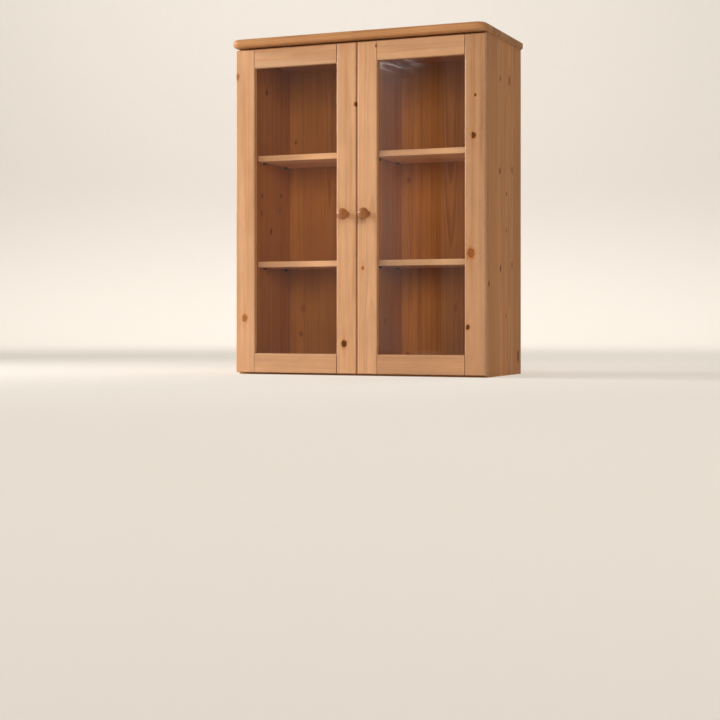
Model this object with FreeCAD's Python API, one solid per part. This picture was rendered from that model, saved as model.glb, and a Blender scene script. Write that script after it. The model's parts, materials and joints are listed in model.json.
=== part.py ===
import FreeCAD, Part
import os

Vec = FreeCAD.Vector

# Glass door cabinet in solid pine: a carcass with a centre divider, four shelves and two framed
# glass doors on concealed cup hinges. Sizes are in millimetres. X runs to the right, Y to the back
# and Z up. The origin is on the underside of the carcass, midway between its sides and midway
# between its front and back edges.

# Carcass
carcass_width = 800.0
carcass_height = 994.0
carcass_depth = 330.0
panel_thick = 20.0
divider_thick = 20.0
back_thick = 6.0
back_lap = 10.0
back_foot_clear = 1.0
panel_edge_round = 2.0

# Top board
top_thick = 25.0
top_front_overhang = 28.0
top_side_overhang = 6.0
top_corner_radius = 34.0
top_nose_land = 0.4
top_side_trim = 2.0

# Shelves and their supports
shelf_thick = 18.0
shelf_depth = 233.0
shelf_clear = 1.0
shelf_edge_round = 2.0
upper_shelf_top = 677.0
lower_shelf_top = 347.0
peg_radius = 2.5
peg_depth = 8.0
tab_reach = 9.0
tab_width = 10.0
tab_height = 7.0
support_inset = 40.0

# Dowels
dowel_radius = 4.0
dowel_in_face = 14.0
dowel_in_end = 20.0
dowel_end_distance = 60.0
dowel_end_clear = 0.5

# Doors
door_thick = 20.0
door_clear = 3.0
door_foot_gap = 6.0
door_head_gap = 5.0
door_meeting_gap = 4.0
stile_width = 63.0
rail_width = 58.0
door_edge_round = 4.0
hinge_edge_round = 4.0
rebate_width = 10.0
tenon_thick = 6.0
tenon_height = 36.0
tenon_length = 30.0
tenon_inset = 10.0
tenon_clear = 0.1
glass_thick = 4.0
glass_edge_clear = 1.5
bead_thick = 4.0
bead_edge_round = 1.5

# Knobs, turned on the Y axis: a base, a hollow neck and a ball
knob_height = 473.0
knob_base_radius = 10.0
knob_base_thick = 2.5
knob_neck_radius = 6.5
knob_ball_radius = 17.2
knob_ball_distance = 31.0
knob_thread_depth = 18.0

# Cup hinges: cup and pin on the door, arm and mounting plate on the side panel
hinge_end_distance = 100.0
cup_radius = 17.5
cup_depth = 14.0
cup_wall = 1.0
cup_floor = 0.8
cup_edge_distance = 22.0
flange_thick = 1.2
flange_height = 58.0
flange_inner_reach = 20.0
flange_outer_reach = 8.0
flange_round = 6.0
flange_screw_offset = 9.5
flange_screw_spacing = 45.0
pin_radius = 1.5
pin_offset = 12.0
pin_depth = 10.0
knuckle_radius = 2.8
knuckle_length = 11.0
arm_thick = 2.0
arm_stand_off = 7.0
arm_bend_radius = 1.5
plate_thick = 2.0
plate_width = 20.0
plate_height = 52.0
plate_round = 8.0
plate_setback = 37.0
plate_screw_spacing = 32.0
block_front = 14.0
block_back = 20.0
arm_screw_offset = 8.0

# Magnetic catches under the inner top panel, with steel strike plates on the doors
catch_distance = 40.0
catch_width = 24.0
catch_depth = 26.0
catch_height = 13.0
catch_setback = 1.0
catch_ear_reach = 10.0
catch_ear_thick = 3.0
magnet_width = 16.0
magnet_height = 6.0
magnet_depth = 18.0
magnet_proud = 1.2
strike_gap = 0.3
strike_width = 28.0
strike_height = 12.0
buffer_radius = 4.0
buffer_distance = 30.0
buffer_gap = 0.3

# Hanging plates, let into the back behind the ends of the inner top panel
hang_edge_distance = 90.0
hang_plate_width = 56.0
hang_plate_height = 18.0
hang_plate_thick = 2.0
keyhole_radius = 4.5
keyhole_slot_radius = 2.25
keyhole_drop = 3.0
keyhole_rise = 4.5
hang_pocket_depth = 6.0
hang_pocket_margin = 2.0
hang_screw_spacing = 42.0

# Screws: short countersunk, long countersunk and machine screws with a flat round head
short_screw_radius = 1.6
short_screw_length = 15.0
short_head_radius = 3.2
short_head_height = 1.8
long_screw_radius = 2.0
long_screw_length = 38.0
long_head_radius = 4.0
long_head_height = 2.4
machine_screw_radius = 2.0
machine_head_radius = 3.6
machine_head_height = 2.2
arm_screw_length = 6.0
screw_point = 3.0
recess_width = 0.8
recess_depth = 0.9
screw_end_clear = 1.0
top_screw_middle_distance = 80.0
top_screw_end_distance = 80.0
top_screw_edge_distance = 65.0
back_screw_middle_distance = 80.0
back_screw_end_distance = 140.0
back_screw_margin = 70.0
back_screws_per_side = 4
back_screws_in_divider = 3

# Clearances: around fixed round pieces, around the turning pins and around let-in pieces
fit_clear = 0.05
running_clear = 0.05
seat_clear = 0.1

# Places that follow from the sizes above
half_width = carcass_width / 2
inner_x = half_width - panel_thick
divider_x = divider_thick / 2
front_y = -carcass_depth / 2
back_y = carcass_depth / 2
back_face_y = back_y - back_thick
ceiling_z = carcass_height - panel_thick
door_back_y = front_y - door_clear
door_front_y = door_back_y - door_thick
door_foot_z = door_foot_gap
door_head_z = carcass_height - door_head_gap
meeting_x = door_meeting_gap / 2
sight_x0 = meeting_x + stile_width
sight_x1 = half_width - stile_width
sight_z0 = door_foot_z + rail_width
sight_z1 = door_head_z - rail_width
lip_back_y = door_back_y - bead_thick - glass_thick
bead_front_y = door_back_y - bead_thick
tenon_y0 = (door_front_y + lip_back_y - tenon_thick) / 2
knob_x = meeting_x + stile_width / 2
knob_z = door_foot_z + knob_height
cup_x = half_width - cup_edge_distance
pin_x = cup_x + pin_offset
pin_y = door_back_y - pin_depth
arm_x1 = inner_x - arm_stand_off
arm_x0 = arm_x1 - arm_thick
plate_x = inner_x - plate_thick
plate_y = front_y + plate_setback
hinge_heights = {"lower": door_foot_z + hinge_end_distance, "upper": door_head_z - hinge_end_distance}
shelf_tops = {"lower": lower_shelf_top, "upper": upper_shelf_top}
shelf_back_y = back_face_y - shelf_clear
shelf_front_y = shelf_back_y - shelf_depth
support_ys = (shelf_front_y + support_inset, shelf_back_y - support_inset)
dowel_ys = (front_y + dowel_end_distance, back_y - dowel_end_distance)
panel_middle_zs = (panel_thick / 2, carcass_height - panel_thick / 2)
catch_front_y = front_y + catch_setback
magnet_z = ceiling_z - (catch_height + catch_ear_thick) / 2
strike_thick = door_clear - magnet_proud - strike_gap
hang_x = half_width - hang_edge_distance
hang_z = carcass_height - panel_thick / 2

right = Vec(1, 0, 0)
left = Vec(-1, 0, 0)
backwards = Vec(0, 1, 0)
forwards = Vec(0, -1, 0)
up = Vec(0, 0, 1)
quarter_turn = 90
full_turn = 360


def box(x0, x1, y0, y1, z0, z1):
    return Part.makeBox(x1 - x0, y1 - y0, z1 - z0, Vec(x0, y0, z0))


def rod(radius, length, start, direction):
    return Part.makeCylinder(radius, length, start, direction)


def mirrored(shape):
    return shape.mirror(Vec(0, 0, 0), right)


def both_sides(shapes):
    return shapes + [mirrored(shape) for shape in shapes]


def rounded(shape, radius, wanted):
    edges = [edge for edge in shape.Edges if wanted(edge)]
    return shape.makeFillet(radius, edges)


def lies_at(edge, **places):
    """True where every point of the edge's box lies at the given x, y or z."""
    limits = edge.BoundBox
    spans = {"x": (limits.XMin, limits.XMax),
             "y": (limits.YMin, limits.YMax),
             "z": (limits.ZMin, limits.ZMax)}
    near = 1e-4
    return all(abs(end - place) < near for axis, place in places.items() for end in spans[axis])


def placed(shape, point, direction):
    """A copy of a shape made along +Z from the origin, set at a point and turned to a direction."""
    copy = shape.copy()
    copy.Placement = FreeCAD.Placement(point, FreeCAD.Rotation(up, direction))
    return copy


def save(name, *solids):
    shape = solids[0] if len(solids) == 1 else Part.makeCompound(list(solids))
    shape.exportStep("parts/" + name + ".step")


# Screws and their holes are made along +Z, with the top of the head at the origin.

def cross_recess(reach):
    bar = box(-reach, reach, -recess_width / 2, recess_width / 2, 0, recess_depth)
    return bar.fuse(bar.rotated(Vec(0, 0, 0), up, quarter_turn))


def countersunk_screw(radius, length, head_radius, head_height):
    head = Part.makeCone(head_radius, radius, head_height)
    shank = rod(radius, length - screw_point, Vec(0, 0, 0), up)
    point = Part.makeCone(radius, recess_width / 2, screw_point, Vec(0, 0, length - screw_point))
    return head.fuse([shank, point]).cut(cross_recess((head_radius + radius) / 2)).removeSplitter()


def countersunk_hole(radius, length, head_radius, head_height):
    mouth = Part.makeCone(head_radius + fit_clear, radius + fit_clear, head_height)
    return mouth.fuse(rod(radius + fit_clear, length + screw_end_clear, Vec(0, 0, 0), up))


def machine_screw(length):
    """A flat round head above the origin and a plain shank below it."""
    head = rod(machine_head_radius, machine_head_height, Vec(0, 0, -machine_head_height), up)
    recess = cross_recess(machine_screw_radius)
    recess.translate(Vec(0, 0, -machine_head_height))
    return head.fuse(rod(machine_screw_radius, length, Vec(0, 0, 0), up)).cut(recess).removeSplitter()


short_sizes = (short_screw_radius, short_screw_length, short_head_radius, short_head_height)
long_sizes = (long_screw_radius, long_screw_length, long_head_radius, long_head_height)
short_screw = countersunk_screw(*short_sizes)
short_hole = countersunk_hole(*short_sizes)
long_screw = countersunk_screw(*long_sizes)
long_hole = countersunk_hole(*long_sizes)


def screws_at(places, pattern):
    return [placed(pattern, point, direction) for point, direction in places]


def top_screw_places():
    columns = (top_screw_middle_distance, inner_x - top_screw_end_distance)
    rows = (front_y + top_screw_edge_distance, back_y - top_screw_edge_distance)
    return [(Vec(side * x, y, ceiling_z), up) for side in (-1, 1) for x in columns for y in rows]


def back_screw_places():
    """Along the two sides, up the divider and along the ends of the bottom and inner top panels."""
    span = carcass_height - 2 * back_screw_margin
    side_x = inner_x + back_lap / 2
    places = []
    for step in range(back_screws_per_side):
        z = back_screw_margin + span * step / (back_screws_per_side - 1)
        places += [Vec(side * side_x, back_y, z) for side in (-1, 1)]
    for step in range(back_screws_in_divider):
        z = back_screw_margin + span * (step + 1) / (back_screws_in_divider + 1)
        places.append(Vec(0, back_y, z))
    columns = (back_screw_middle_distance, inner_x - back_screw_end_distance)
    for z in panel_middle_zs:
        places += [Vec(side * x, back_y, z) for side in (-1, 1) for x in columns]
    return [(point, forwards) for point in places]


def hang_screw_places():
    offsets = (-hang_screw_spacing / 2, hang_screw_spacing / 2)
    columns = [side * hang_x + offset for side in (-1, 1) for offset in offsets]
    return [(Vec(x, back_y, hang_z), forwards) for x in columns]


def plate_screw_places(z):
    offsets = (-plate_screw_spacing / 2, plate_screw_spacing / 2)
    return [(Vec(plate_x, plate_y, z + offset), right) for offset in offsets]


def arm_screw_place(z):
    return Vec(arm_x0, plate_y + arm_screw_offset, z), right


def cup_screw_places(z):
    offsets = (-flange_screw_spacing / 2, flange_screw_spacing / 2)
    y = door_back_y + flange_thick
    return [(Vec(cup_x - flange_screw_offset, y, z + offset), forwards) for offset in offsets]


def catch_screw_places():
    reach = (catch_width + catch_ear_reach) / 2
    z = ceiling_z - catch_ear_thick
    y = catch_front_y + catch_depth / 2
    return [(Vec(catch_distance + offset, y, z), up) for offset in (-reach, reach)]


def strike_screw_place():
    return Vec(catch_distance, door_back_y + strike_thick, magnet_z), forwards


# Dowels

def dowel_places():
    """Where each dowel crosses its joint, and the way into the panel whose face it enters."""
    places = []
    for y in dowel_ys:
        for z in panel_middle_zs:
            places += [(Vec(inner_x, y, z), right), (Vec(-inner_x, y, z), left)]
        places += [(Vec(0, y, ceiling_z), up), (Vec(0, y, panel_thick), Vec(0, 0, -1))]
    return places


def dowel(point, direction):
    return rod(dowel_radius, dowel_in_face + dowel_in_end, point - direction * dowel_in_end, direction)


def dowel_hole(point, direction):
    deep = dowel_in_end + dowel_end_clear
    length = dowel_in_face + dowel_in_end + 2 * dowel_end_clear
    return rod(dowel_radius + fit_clear, length, point - direction * deep, direction)


# Shelves

def shelf(top_z):
    board = box(divider_x + shelf_clear, inner_x - shelf_clear, shelf_front_y, shelf_back_y,
                top_z - shelf_thick, top_z)
    return rounded(board, shelf_edge_round, lambda edge: lies_at(edge, y=shelf_front_y)
                   and edge.BoundBox.XLength > shelf_thick)


def support_places():
    """The foot of each support on the right-hand side, and the way it points into the compartment."""
    places = []
    for top_z in shelf_tops.values():
        for y in support_ys:
            places.append((Vec(inner_x, y, top_z - shelf_thick), left))
            places.append((Vec(divider_x, y, top_z - shelf_thick), right))
    return places


def support(point, direction):
    middle = point - up * (tab_height / 2)
    peg = rod(peg_radius, peg_depth, middle, -direction)
    reach = sorted((point.x, point.x + direction.x * tab_reach))
    tab = box(reach[0], reach[1], point.y - tab_width / 2, point.y + tab_width / 2,
              point.z - tab_height, point.z)
    return tab.fuse(peg)


def support_hole(point, direction):
    middle = point - up * (tab_height / 2)
    return rod(peg_radius + fit_clear, peg_depth + screw_end_clear, middle, -direction)


# Carcass panels

def side_panel():
    panel = box(inner_x, half_width, front_y, back_y, 0, carcass_height)
    panel = rounded(panel, panel_edge_round, lambda edge: lies_at(edge, x=half_width, y=front_y)
                    or lies_at(edge, x=half_width, y=back_y))
    cuts = [box(inner_x, inner_x + back_lap, back_face_y, back_y, 0, carcass_height)]
    cuts += [dowel_hole(point, way) for point, way in dowel_places()]
    cuts += [support_hole(point, way) for point, way in support_places()]
    cuts += screws_at(back_screw_places(), short_hole)
    for z in hinge_heights.values():
        cuts += screws_at(plate_screw_places(z), short_hole)
    return panel.cut(cuts)


def bottom_panel():
    panel = box(-inner_x, inner_x, front_y, back_face_y, 0, panel_thick)
    cuts = [dowel_hole(point, way) for point, way in dowel_places()]
    cuts += screws_at(back_screw_places(), short_hole)
    return panel.cut(cuts)


def inner_top_panel():
    panel = box(-inner_x, inner_x, front_y, back_face_y, ceiling_z, carcass_height)
    cuts = [dowel_hole(point, way) for point, way in dowel_places()]
    cuts += screws_at(back_screw_places() + hang_screw_places(), short_hole)
    cuts += screws_at(top_screw_places(), long_hole)
    cuts += both_sides(screws_at(catch_screw_places(), short_hole) + [hang_pocket()])
    return panel.cut(cuts)


def centre_divider():
    panel = box(-divider_x, divider_x, front_y, back_face_y, panel_thick, ceiling_z)
    cuts = [dowel_hole(point, way) for point, way in dowel_places()]
    cuts += both_sides([support_hole(point, way) for point, way in support_places()])
    cuts += screws_at(back_screw_places(), short_hole)
    return panel.cut(cuts)


def back_panel():
    edge_x = inner_x + back_lap - seat_clear
    panel = box(-edge_x, edge_x, back_face_y, back_y, back_foot_clear, carcass_height)
    cuts = screws_at(back_screw_places() + hang_screw_places(), short_hole)
    cuts += both_sides([hang_seat(), hang_pocket()])
    return panel.cut(cuts)


def top_board():
    """A board with a full round nose along the front and its corners, planed flat on the sides."""
    edge_x = half_width + top_side_overhang
    wide_x = edge_x + top_side_trim
    nose_y = door_front_y - top_front_overhang
    upper_z = carcass_height + top_thick
    board = box(-wide_x, wide_x, nose_y, back_y, carcass_height, upper_z)
    board = rounded(board, top_corner_radius, lambda edge: lies_at(edge, x=wide_x, y=nose_y)
                    or lies_at(edge, x=-wide_x, y=nose_y))
    board = rounded(board, (top_thick - top_nose_land) / 2, lambda edge: not lies_at(edge, y=back_y)
                    and (lies_at(edge, z=carcass_height) or lies_at(edge, z=upper_z)))
    trims = both_sides([box(edge_x, wide_x + top_side_trim, nose_y, back_y, carcass_height, upper_z)])
    return board.cut(trims + screws_at(top_screw_places(), long_hole))


# Hanging plates

def hang_seat():
    width = hang_plate_width / 2 + seat_clear
    height = hang_plate_height / 2 + seat_clear
    return box(hang_x - width, hang_x + width, back_y - hang_plate_thick, back_y,
               hang_z - height, hang_z + height)


def hang_pocket():
    """Room for the head of a wall screw, behind the plate and in the edge of the inner top panel."""
    width = keyhole_radius + hang_pocket_margin
    low_z = hang_z - keyhole_drop - keyhole_radius - seat_clear
    high_z = hang_z + keyhole_rise + keyhole_radius
    return box(hang_x - width, hang_x + width, back_face_y - hang_pocket_depth, back_y - hang_plate_thick,
               low_z, high_z)


def hanging_plate():
    start_y = back_y - hang_plate_thick
    plate = box(hang_x - hang_plate_width / 2, hang_x + hang_plate_width / 2, start_y, back_y,
                hang_z - hang_plate_height / 2, hang_z + hang_plate_height / 2)
    entry_point = Vec(hang_x, start_y, hang_z - keyhole_drop)
    seat_point = Vec(hang_x, start_y, hang_z + keyhole_rise)
    entry = rod(keyhole_radius, hang_plate_thick, entry_point, backwards)
    seat = rod(keyhole_slot_radius, hang_plate_thick, seat_point, backwards)
    slot = box(hang_x - keyhole_slot_radius, hang_x + keyhole_slot_radius, start_y, back_y,
               hang_z - keyhole_drop, hang_z + keyhole_rise)
    return plate.cut([entry, seat, slot] + screws_at(hang_screw_places(), short_hole))


# Hinges, for the right-hand door

def cup_bore(z):
    return rod(cup_radius + seat_clear, cup_depth + seat_clear, Vec(cup_x, door_back_y, z), forwards)


def hinge_cup(z):
    """A pressed cup with its flange on the back of the stile, bored for the hinge pin."""
    cup = rod(cup_radius, cup_depth, Vec(cup_x, door_back_y, z), forwards)
    flange = box(cup_x - flange_inner_reach, cup_x + flange_outer_reach,
                 door_back_y, door_back_y + flange_thick,
                 z - flange_height / 2, z + flange_height / 2)
    flange = rounded(flange, flange_round, lambda edge: edge.BoundBox.YLength > flange_thick / 2)
    hollow = rod(cup_radius - cup_wall, cup_depth - cup_floor + flange_thick,
                 Vec(cup_x, door_back_y + flange_thick, z), forwards)
    pin_bore = rod(pin_radius + fit_clear, 2 * cup_radius, Vec(pin_x, pin_y, z - cup_radius), up)
    return cup.fuse(flange).cut([hollow, pin_bore] + screws_at(cup_screw_places(z), short_hole))


def hinge_pin(z):
    """The pin spans the cup and is dressed flush with the outside of its wall."""
    pin = rod(pin_radius, 2 * cup_radius, Vec(pin_x, pin_y, z - cup_radius), up)
    return pin.common(rod(cup_radius, cup_depth, Vec(cup_x, door_back_y, z), forwards))


def hinge_arm(z):
    """From its eye on the pin the arm runs inwards, then turns back beside the side panel."""
    half = knuckle_length / 2
    face_y = pin_y - arm_thick / 2
    inward = box(arm_x0, pin_x, face_y, face_y + arm_thick, z - half, z + half)
    rearward = box(arm_x0, arm_x1, face_y, plate_y + block_back, z - half, z + half)
    arm = inward.fuse(rearward).removeSplitter()
    arm = rounded(arm, arm_bend_radius, lambda edge: lies_at(edge, x=arm_x0, y=face_y))
    eye = rod(knuckle_radius, knuckle_length, Vec(pin_x, pin_y, z - half), up)
    bore = rod(pin_radius + running_clear, knuckle_length, Vec(pin_x, pin_y, z - half), up)
    return arm.fuse(eye).cut([bore, arm_screw_hole(z)])


def arm_screw_hole(z):
    point, way = arm_screw_place(z)
    return rod(machine_screw_radius + fit_clear, arm_screw_length + screw_end_clear, point, way)


def hinge_plate(z):
    plate = box(plate_x, inner_x, plate_y - plate_width / 2, plate_y + plate_width / 2,
                z - plate_height / 2, z + plate_height / 2)
    plate = rounded(plate, plate_round, lambda edge: edge.BoundBox.XLength > plate_thick / 2)
    half = knuckle_length / 2
    block = box(arm_x1, plate_x, plate_y - block_front, plate_y + block_back, z - half, z + half)
    return plate.fuse(block).cut([arm_screw_hole(z)] + screws_at(plate_screw_places(z), short_hole))


# Catches

def magnet():
    return box(catch_distance - magnet_width / 2, catch_distance + magnet_width / 2,
               front_y - magnet_proud, front_y - magnet_proud + magnet_depth,
               magnet_z - magnet_height / 2, magnet_z + magnet_height / 2)


def catch_housing():
    body = box(catch_distance - catch_width / 2, catch_distance + catch_width / 2,
               catch_front_y, catch_front_y + catch_depth, ceiling_z - catch_height, ceiling_z)
    ear_x = catch_width / 2 + catch_ear_reach
    ears = box(catch_distance - ear_x, catch_distance + ear_x, catch_front_y, catch_front_y + catch_depth,
               ceiling_z - catch_ear_thick, ceiling_z)
    width = magnet_width / 2 + seat_clear
    height = magnet_height / 2 + seat_clear
    pocket = box(catch_distance - width, catch_distance + width, catch_front_y,
                 front_y - magnet_proud + magnet_depth, magnet_z - height, magnet_z + height)
    return body.fuse(ears).removeSplitter().cut([pocket] + screws_at(catch_screw_places(), short_hole))


def strike_plate():
    plate = box(catch_distance - strike_width / 2, catch_distance + strike_width / 2,
                door_back_y, door_back_y + strike_thick,
                magnet_z - strike_height / 2, magnet_z + strike_height / 2)
    return plate.cut(screws_at([strike_screw_place()], short_hole))


def door_buffers():
    """One buffer meets the inner top panel's front edge and one the bottom panel's."""
    heights = ((door_foot_z + panel_thick) / 2, (door_head_z + ceiling_z) / 2)
    x = meeting_x + buffer_distance
    return [rod(buffer_radius, door_clear - buffer_gap, Vec(x, door_back_y, z), backwards) for z in heights]


# Door frames, for the right-hand door

def tenon(x0, x1, z0, grow):
    """A tenon, or with grow its mortise."""
    return box(x0, x1, tenon_y0 - grow, tenon_y0 + tenon_thick + grow, z0 - grow, z0 + tenon_height + grow)


def tenon_feet():
    return door_foot_z + tenon_inset, door_head_z - tenon_inset - tenon_height


def stile(x0, x1, sight_x, back_round):
    """A stile with its edges eased, its rebate for the glass and its two mortises."""
    outer_x = x0 if sight_x == x1 else x1
    inwards = 1 if sight_x == x0 else -1
    post = box(x0, x1, door_front_y, door_back_y, door_foot_z, door_head_z)
    post = rounded(post, door_edge_round, lambda edge: lies_at(edge, y=door_front_y))
    post = rounded(post, back_round, lambda edge: lies_at(edge, x=outer_x, y=door_back_y))
    rebate_x = sorted((sight_x, sight_x + inwards * rebate_width))
    cuts = [box(rebate_x[0], rebate_x[1], lip_back_y, door_back_y, door_foot_z, door_head_z)]
    mortise_x = sorted((sight_x, sight_x + inwards * (tenon_length + screw_end_clear)))
    cuts += [tenon(mortise_x[0], mortise_x[1], z, tenon_clear) for z in tenon_feet()]
    return post.cut(cuts)


def outer_stile():
    cuts = []
    for z in hinge_heights.values():
        cuts += [cup_bore(z)] + screws_at(cup_screw_places(z), short_hole)
    return stile(sight_x1, half_width, sight_x1, hinge_edge_round).cut(cuts)


def inner_stile():
    through = rod(machine_screw_radius + fit_clear, door_thick, Vec(knob_x, door_back_y, knob_z), forwards)
    strike_hole = screws_at([strike_screw_place()], short_hole)
    return stile(meeting_x, sight_x0, sight_x0, door_edge_round).cut([through] + strike_hole)


def rail(outer_z, sight_z, tenon_z):
    """The front of a rail ends at the stiles' faces; its back fills their rebates."""
    zs = sorted((outer_z, sight_z))
    face = box(sight_x0, sight_x1, door_front_y, lip_back_y, zs[0], zs[1])
    face = rounded(face, door_edge_round, lambda edge: lies_at(edge, y=door_front_y)
                   and edge.BoundBox.XLength > rail_width)
    inwards = 1 if sight_z > outer_z else -1
    behind_z = sorted((outer_z, sight_z - inwards * rebate_width))
    behind = box(sight_x0 - rebate_width, sight_x1 + rebate_width, lip_back_y, door_back_y,
                 behind_z[0], behind_z[1])
    long_tenon = tenon(sight_x0 - tenon_length, sight_x1 + tenon_length, tenon_z, 0)
    whole = face.fuse([behind, long_tenon]).removeSplitter()
    return whole.cut(screws_at([strike_screw_place()], short_hole))


def glass_pane():
    reach = rebate_width - glass_edge_clear
    return box(sight_x0 - reach, sight_x1 + reach, lip_back_y, bead_front_y,
               sight_z0 - reach, sight_z1 + reach)


def glazing_beads():
    """Two upright beads and two between them, each with its inner back edge eased."""
    low_z = sight_z0 - rebate_width
    high_z = sight_z1 + rebate_width
    spans = [(sight_x0 - rebate_width, sight_x0, low_z, high_z, {"x": sight_x0}),
             (sight_x1, sight_x1 + rebate_width, low_z, high_z, {"x": sight_x1}),
             (sight_x0, sight_x1, low_z, sight_z0, {"z": sight_z0}),
             (sight_x0, sight_x1, sight_z1, high_z, {"z": sight_z1})]
    beads = []
    for x0, x1, z0, z1, inner in spans:
        bead = box(x0, x1, bead_front_y, door_back_y, z0, z1)
        beads.append(rounded(bead, bead_edge_round, lambda edge: lies_at(edge, y=door_back_y, **inner)))
    return beads


def knob():
    """The ball, neck and base are turned about the Y axis; the profile is drawn outwards from the door."""
    ball = knob_ball_distance
    rise = (knob_ball_radius ** 2 - knob_neck_radius ** 2) ** 0.5
    base_edge = Vec(knob_base_radius, -knob_base_thick, 0)
    neck_start = Vec(knob_neck_radius, -(ball - rise), 0)
    hollow = Vec(knob_neck_radius, -(knob_base_thick + ball - rise) / 2, 0)
    cheek = Vec(knob_ball_radius, -ball, 0)
    tip = Vec(0, -(ball + knob_ball_radius), 0)
    outline = [Part.LineSegment(Vec(0, 0, 0), Vec(knob_base_radius, 0, 0)),
               Part.LineSegment(Vec(knob_base_radius, 0, 0), base_edge),
               Part.Arc(base_edge, hollow, neck_start),
               Part.Arc(neck_start, cheek, tip),
               Part.LineSegment(tip, Vec(0, 0, 0))]
    face = Part.Face(Part.Wire([line.toShape() for line in outline]))
    turned = face.revolve(Vec(0, 0, 0), backwards, full_turn)
    turned.translate(Vec(knob_x, door_front_y, knob_z))
    thread = rod(machine_screw_radius + fit_clear, knob_thread_depth + screw_end_clear,
                 Vec(knob_x, door_front_y, knob_z), forwards)
    return turned.cut(thread)


def knob_screw():
    return placed(machine_screw(door_thick + knob_thread_depth), Vec(knob_x, door_back_y, knob_z), forwards)


os.makedirs("parts", exist_ok=True)

# Pieces on the middle of the carcass
save("bottom_panel", bottom_panel())
save("inner_top_panel", inner_top_panel())
save("centre_divider", centre_divider())
save("back_panel", back_panel())
save("top_board", top_board())
save("shelf_supports", *both_sides([support(point, way) for point, way in support_places()]))
save("carcass_dowels", *[dowel(point, way) for point, way in dowel_places()])
save("top_board_screws", *screws_at(top_screw_places(), long_screw))
save("back_panel_screws", *screws_at(back_screw_places(), short_screw))
save("hanging_plates", *both_sides([hanging_plate()]))
save("hanging_plate_screws", *screws_at(hang_screw_places(), short_screw))
save("catch_magnets", *both_sides([magnet()]))
save("catch_screws", *both_sides(screws_at(catch_screw_places(), short_screw)))

hinge_screws = []
for height in hinge_heights.values():
    hinge_screws += screws_at(plate_screw_places(height), short_screw)
    hinge_screws.append(placed(machine_screw(arm_screw_length), *arm_screw_place(height)))
save("hinge_screws", *both_sides(hinge_screws))

# Pieces that come in a right-hand and a left-hand copy
pairs = {"side_panel": [side_panel()], "catch_housing": [catch_housing()]}
for level, top in shelf_tops.items():
    pairs["shelf_" + level] = [shelf(top)]
for level, height in hinge_heights.items():
    pairs["hinge_plate_" + level] = [hinge_plate(height)]
    pairs["hinge_arm_" + level] = [hinge_arm(height)]
    pairs["hinge_cup_" + level] = [hinge_cup(height)]

low_tenon, high_tenon = tenon_feet()
pairs["door_outer_stile"] = [outer_stile()]
pairs["door_inner_stile"] = [inner_stile()]
pairs["door_bottom_rail"] = [rail(door_foot_z, sight_z0, low_tenon)]
pairs["door_top_rail"] = [rail(door_head_z, sight_z1, high_tenon)]
pairs["door_glass"] = [glass_pane()]
pairs["door_glazing_beads"] = glazing_beads()
pairs["door_knob"] = [knob()]
pairs["door_knob_screw"] = [knob_screw()]
pairs["door_strike_plate"] = [strike_plate()]
pairs["door_buffers"] = door_buffers()
pairs["hinge_pins"] = [hinge_pin(height) for height in hinge_heights.values()]
cup_places = [place for height in hinge_heights.values() for place in cup_screw_places(height)]
pairs["door_screws"] = screws_at(cup_places + [strike_screw_place()], short_screw)

for name, solids in pairs.items():
    save(name + "_right", *solids)
    save(name + "_left", *[mirrored(solid) for solid in solids])
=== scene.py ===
import json
import math
import random
from collections import namedtuple

import bpy
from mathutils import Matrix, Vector


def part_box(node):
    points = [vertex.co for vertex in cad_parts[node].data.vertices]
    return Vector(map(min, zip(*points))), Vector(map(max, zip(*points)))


# Glass door cabinet in brown-stained pine. Sizes are in metres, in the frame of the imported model.

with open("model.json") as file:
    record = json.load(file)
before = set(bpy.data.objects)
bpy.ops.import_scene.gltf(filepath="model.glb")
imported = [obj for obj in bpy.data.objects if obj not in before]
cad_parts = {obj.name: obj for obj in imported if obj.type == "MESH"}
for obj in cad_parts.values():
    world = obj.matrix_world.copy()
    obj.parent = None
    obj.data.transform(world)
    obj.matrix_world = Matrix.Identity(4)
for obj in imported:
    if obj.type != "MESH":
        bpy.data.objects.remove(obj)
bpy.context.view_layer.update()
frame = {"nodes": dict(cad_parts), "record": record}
nodes = frame["nodes"]

MILLIMETRE = 0.001

# Camera
CAMERA_PLACE = (1.759, -4.391, 0.175)
CAMERA_TURN = 22.58
CAMERA_LENS = 76.93
CAMERA_SENSOR = 36.0
CAMERA_RISE = -0.060

# Backdrop
FLOOR_RADIUS = 5.4
NEAR_FLOOR_RADIUS = 1.0
SWEEP_RADIUS = 1.2
SWEEP_STEPS = 12
WALL_HEIGHT = 5.0
WALL_SIDES = 64
PAPER = (0.86, 0.83, 0.79, 1.0)
PAPER_FLECK = (0.83, 0.80, 0.755, 1.0)
PAPER_ROUGHNESS = 0.9

# Glow of the backdrop, which the camera sees in full, and glass and metal in part
PAPER_GLOW = (0.95, 0.87, 0.77, 1.0)
FLOOR_GLOW = 0.48
FAR_FLOOR_GLOW = 0.62
WALL_GLOW = 0.44
SEEN_SHADE = 0.55
THROUGH_SHARE = 0.25

# Glowing card that shows as a reflection in the right pane
CARD_LEFT = -1.25
CARD_RIGHT = -0.74
CARD_FRONT = -3.0
CARD_BOTTOM = 0.01
CARD_TOP = 1.60
CARD_COLOUR = (1.0, 0.93, 0.88, 1.0)
CARD_LEFT_FADE = (0.0, 0.15)
CARD_RIGHT_FADE = (1.0, 0.25)
CARD_TOP_FADE = (1.0, 0.9)
VEIL_GLOW = 1.6
VEIL_UNEVEN = 0.6
VEIL_LOW_SHARE = 0.6
WISP_GLOW = 9.0
WISP_HEIGHT = 1.42
WISP_WIDTH = 0.055
WISP_SLOPE = 0.35
WISP_EDGE = (0.46, 0.68)

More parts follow.
